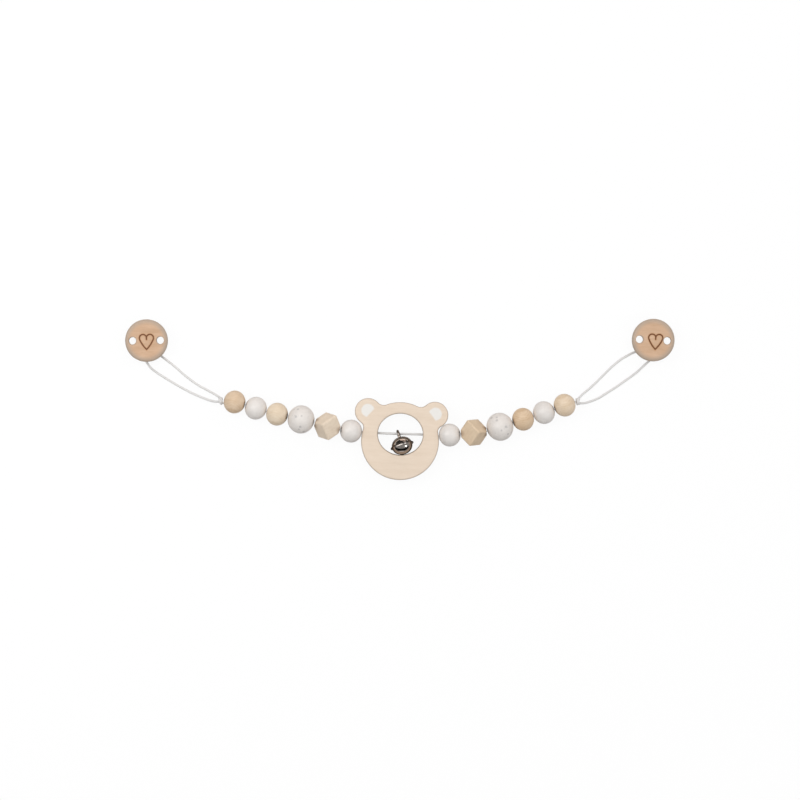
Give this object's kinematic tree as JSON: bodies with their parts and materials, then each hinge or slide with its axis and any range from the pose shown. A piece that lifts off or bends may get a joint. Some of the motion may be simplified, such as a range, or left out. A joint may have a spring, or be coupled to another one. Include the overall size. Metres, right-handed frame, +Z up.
{
  "type": "pram chain toy",
  "caption": "Wooden pram chain: a bear-shaped ring with a hanging bell at the middle of a cord of round, speckled and cube beads, and a round wooden clip on a cord loop at each end.",
  "frame": {"origin": "middle of the toy's outline in plan, on the flat surface that it lies on", "axes": "+X along the chain from the left clip to the right clip, +Y from the bear's chin towards the clips' jaws, +Z up, out of the wooden front faces"},
  "size_m": [0.486, 0.1425, 0.0262],
  "materials": {
    "maple": "pale bare wood, waxed",
    "beech": "warm bare wood, waxed",
    "white_paint": "wood under satin white paint",
    "speckled_paint": "wood under white paint with grey speckles",
    "cord": "smooth round polyester cord",
    "bell_metal": "dark polished nickel plate",
    "steel": "nickel-plated steel",
    "pad": "translucent white plastic"
  },
  "bodies": {
    "bear": {"bear_ring": "maple", "cord_center": "cord"},
    "bell": {"bell_upper_shell": "bell_metal", "bell_lower_shell": "bell_metal", "bell_loop": "bell_metal"},
    "pellet": {"bell_pellet": "steel"},
    "strand_left_1": {"cord_segment_left_1": "cord"},
    "bead_left_1": {"white_bead_left_inner": "white_paint"},
    "strand_left_2": {"cord_segment_left_2": "cord"},
    "bead_left_2": {"cube_bead_left": "beech"},
    "strand_left_3": {"cord_segment_left_3": "cord"},
    "bead_left_3": {"speckled_bead_left": "speckled_paint"},
    "strand_left_4": {"cord_segment_left_4": "cord"},
    "bead_left_4": {"wood_bead_left_inner": "beech"},
    "strand_left_5": {"cord_segment_left_5": "cord"},
    "bead_left_5": {"white_bead_left_outer": "white_paint"},
    "strand_left_6": {"cord_segment_left_6": "cord"},
    "bead_left_6": {"wood_bead_left_outer": "beech"},
    "knot_end_left": {"knot_left": "cord"},
    "clip_left": {"clip_loop_left": "cord", "clip_disc_left": "beech", "clip_plate_left": "steel", "clip_grip_left": "pad", "clip_pin_left": "steel", "clip_rivet_left_1": "steel", "clip_rivet_left_2": "steel"},
    "lever_left": {"clip_lever_left": "steel"},
    "strand_right_1": {"cord_segment_right_1": "cord"},
    "bead_right_1": {"white_bead_right_inner": "white_paint"},
    "strand_right_2": {"cord_segment_right_2": "cord"},
    "bead_right_2": {"cube_bead_right": "beech"},
    "strand_right_3": {"cord_segment_right_3": "cord"},
    "bead_right_3": {"speckled_bead_right": "speckled_paint"},
    "strand_right_4": {"cord_segment_right_4": "cord"},
    "bead_right_4": {"wood_bead_right_inner": "beech"},
    "strand_right_5": {"cord_segment_right_5": "cord"},
    "bead_right_5": {"white_bead_right_outer": "white_paint"},
    "strand_right_6": {"cord_segment_right_6": "cord"},
    "bead_right_6": {"wood_bead_right_outer": "beech"},
    "knot_end_right": {"knot_right": "cord"},
    "clip_right": {"clip_loop_right": "cord", "clip_disc_right": "beech", "clip_plate_right": "steel", "clip_grip_right": "pad", "clip_pin_right": "steel", "clip_rivet_right_1": "steel", "clip_rivet_right_2": "steel"},
    "lever_right": {"clip_lever_right": "steel"}
  },
  "joints": [
    {"name": "bell_swing", "type": "hinge", "parent": "bear", "child": "bell", "pos_m": [-0.00124, -0.03081, 0.0074], "axis": [0.9984, -0.0558, 0], "range_deg": [-120, 0]},
    {"name": "pellet_rattle", "type": "slide", "parent": "bell", "child": "pellet", "axis": [-0.0858, 0.2672, 0.9598], "range_m": [0, 0.0115]},
    {"name": "bend_left_1", "type": "hinge", "parent": "bear", "child": "strand_left_1", "pos_m": [-0.03372, -0.02899, 0.0074], "axis": [-0.0958, -0.9954, 0], "range_deg": [0, 30]},
    {"name": "spin_left_1", "type": "hinge", "parent": "strand_left_1", "child": "bead_left_1", "pos_m": [-0.04322, -0.02807, 0.01019], "axis": [-0.9554, 0.092, 0.2807], "continuous": true},
    {"name": "bend_left_2", "type": "hinge", "parent": "strand_left_1", "child": "strand_left_2", "pos_m": [-0.05278, -0.02715, 0.013], "axis": [0, 0, 1], "range_deg": [-6, 6]},
    {"name": "spin_left_2", "type": "hinge", "parent": "strand_left_2", "child": "bead_left_2", "pos_m": [-0.06411, -0.02369, 0.01319], "axis": [-0.9562, 0.2923, 0.0157], "continuous": true},
    {"name": "bend_left_3", "type": "hinge", "parent": "strand_left_2", "child": "strand_left_3", "pos_m": [-0.07544, -0.02023, 0.01337], "axis": [0, 0, 1], "range_deg": [-6.5, 6.5]},
    {"name": "spin_left_3", "type": "hinge", "parent": "strand_left_3", "child": "bead_left_3", "pos_m": [-0.08735, -0.0177, 0.01256], "axis": [-0.976, 0.2075, -0.0663], "continuous": true},
    {"name": "bend_left_4", "type": "hinge", "parent": "strand_left_3", "child": "strand_left_4", "pos_m": [-0.09911, -0.0152, 0.01176], "axis": [-0.2164, -0.9763, 0], "range_deg": [-10, 10]},
    {"name": "spin_left_4", "type": "hinge", "parent": "strand_left_4", "child": "bead_left_4", "pos_m": [-0.10865, -0.01308, 0.01053], "axis": [-0.9686, 0.2147, -0.1253], "continuous": true},
    {"name": "bend_left_5", "type": "hinge", "parent": "strand_left_4", "child": "strand_left_5", "pos_m": [-0.11819, -0.01097, 0.0093], "axis": [0, 0, 1], "range_deg": [-6, 6]},
    {"name": "spin_left_5", "type": "hinge", "parent": "strand_left_5", "child": "bead_left_5", "pos_m": [-0.12746, -0.00777, 0.01021], "axis": [-0.9415, 0.3242, 0.0924], "continuous": true},
    {"name": "bend_left_6", "type": "hinge", "parent": "strand_left_5", "child": "strand_left_6", "pos_m": [-0.13673, -0.00458, 0.01112], "axis": [-0.2334, -0.9724, 0], "range_deg": [-12, 5]},
    {"name": "spin_left_6", "type": "hinge", "parent": "strand_left_6", "child": "bead_left_6", "pos_m": [-0.14628, -0.00229, 0.01026], "axis": [-0.9687, 0.2326, -0.0872], "continuous": true},
    {"name": "loop_swing_left", "type": "hinge", "parent": "strand_left_6", "child": "knot_end_left", "pos_m": [-0.15809, 0.00055, 0.00919], "axis": [0, 0, 1], "range_deg": [-40, 40]},
    {"name": "clip_hang_left", "type": "hinge", "parent": "knot_end_left", "child": "clip_left", "pos_m": [-0.15809, 0.00055, 0.00919], "axis": [-0.6146, -0.7888, 0], "range_deg": [-45, 45]},
    {"name": "lever_open_left", "type": "hinge", "parent": "clip_left", "child": "lever_left", "pos_m": [-0.22439, 0.06325, 0.0025], "axis": [0.9998, 0.0175, 0], "range_deg": [0, 75]},
    {"name": "bend_right_1", "type": "hinge", "parent": "bear", "child": "strand_right_1", "pos_m": [0.03462, -0.03281, 0.0074], "axis": [-0.1305, 0.9914, 0], "range_deg": [0, 30]},
    {"name": "spin_right_1", "type": "hinge", "parent": "strand_right_1", "child": "bead_right_1", "pos_m": [0.04409, -0.03156, 0.01019], "axis": [0.9516, 0.1253, 0.2807], "continuous": true},
    {"name": "bend_right_2", "type": "hinge", "parent": "strand_right_1", "child": "strand_right_2", "pos_m": [0.05356, -0.03032, 0.01299], "axis": [0, 0, 1], "range_deg": [-6, 6]},
    {"name": "spin_right_2", "type": "hinge", "parent": "strand_right_2", "child": "bead_right_2", "pos_m": [0.06531, -0.02929, 0.01317], "axis": [0.9961, 0.0871, 0.0157], "continuous": true},
    {"name": "bend_right_3", "type": "hinge", "parent": "strand_right_2", "child": "strand_right_3", "pos_m": [0.07707, -0.02826, 0.01336], "axis": [0, 0, 1], "range_deg": [-6.5, 6.5]},
    {"name": "spin_right_3", "type": "hinge", "parent": "strand_right_3", "child": "bead_right_3", "pos_m": [0.08849, -0.02421, 0.01255], "axis": [0.9406, 0.3331, -0.0663], "continuous": true},
    {"name": "bend_right_4", "type": "hinge", "parent": "strand_right_3", "child": "strand_right_4", "pos_m": [0.09973, -0.02023, 0.01176], "axis": [-0.2756, 0.9613, 0], "range_deg": [-10, 10]},
    {"name": "spin_right_4", "type": "hinge", "parent": "strand_right_4", "child": "bead_right_4", "pos_m": [0.10903, -0.01757, 0.01054], "axis": [0.9537, 0.2735, -0.1253], "continuous": true},
    {"name": "bend_right_5", "type": "hinge", "parent": "strand_right_4", "child": "strand_right_5", "pos_m": [0.11833, -0.0149, 0.00931], "axis": [0, 0, 1], "range_deg": [-6, 6]},
    {"name": "spin_right_5", "type": "hinge", "parent": "strand_right_5", "child": "bead_right_5", "pos_m": [0.12748, -0.01166, 0.01022], "axis": [0.9386, 0.3324, 0.0924], "continuous": true},
    {"name": "bend_right_6", "type": "hinge", "parent": "strand_right_5", "child": "strand_right_6", "pos_m": [0.13663, -0.00842, 0.01112], "axis": [-0.342, 0.9397, 0], "range_deg": [-12, 5]},
    {"name": "spin_right_6", "type": "hinge", "parent": "strand_right_6", "child": "bead_right_6", "pos_m": [0.14576, -0.0051, 0.01027], "axis": [0.9361, 0.3407, -0.0872], "continuous": true},
    {"name": "loop_swing_right", "type": "hinge", "parent": "strand_right_6", "child": "knot_end_right", "pos_m": [0.15699, -0.00101, 0.00922], "axis": [0, 0, 1], "range_deg": [-40, 40]},
    {"name": "clip_hang_right", "type": "hinge", "parent": "knot_end_right", "child": "clip_right", "pos_m": [0.15699, -0.00101, 0.00922], "axis": [-0.6228, 0.7823, 0], "range_deg": [-45, 45]},
    {"name": "lever_open_right", "type": "hinge", "parent": "clip_right", "child": "lever_right", "pos_m": [0.22478, 0.06368, 0.0025], "axis": [0.9986, -0.0523, 0], "range_deg": [0, 75]}
  ]
}
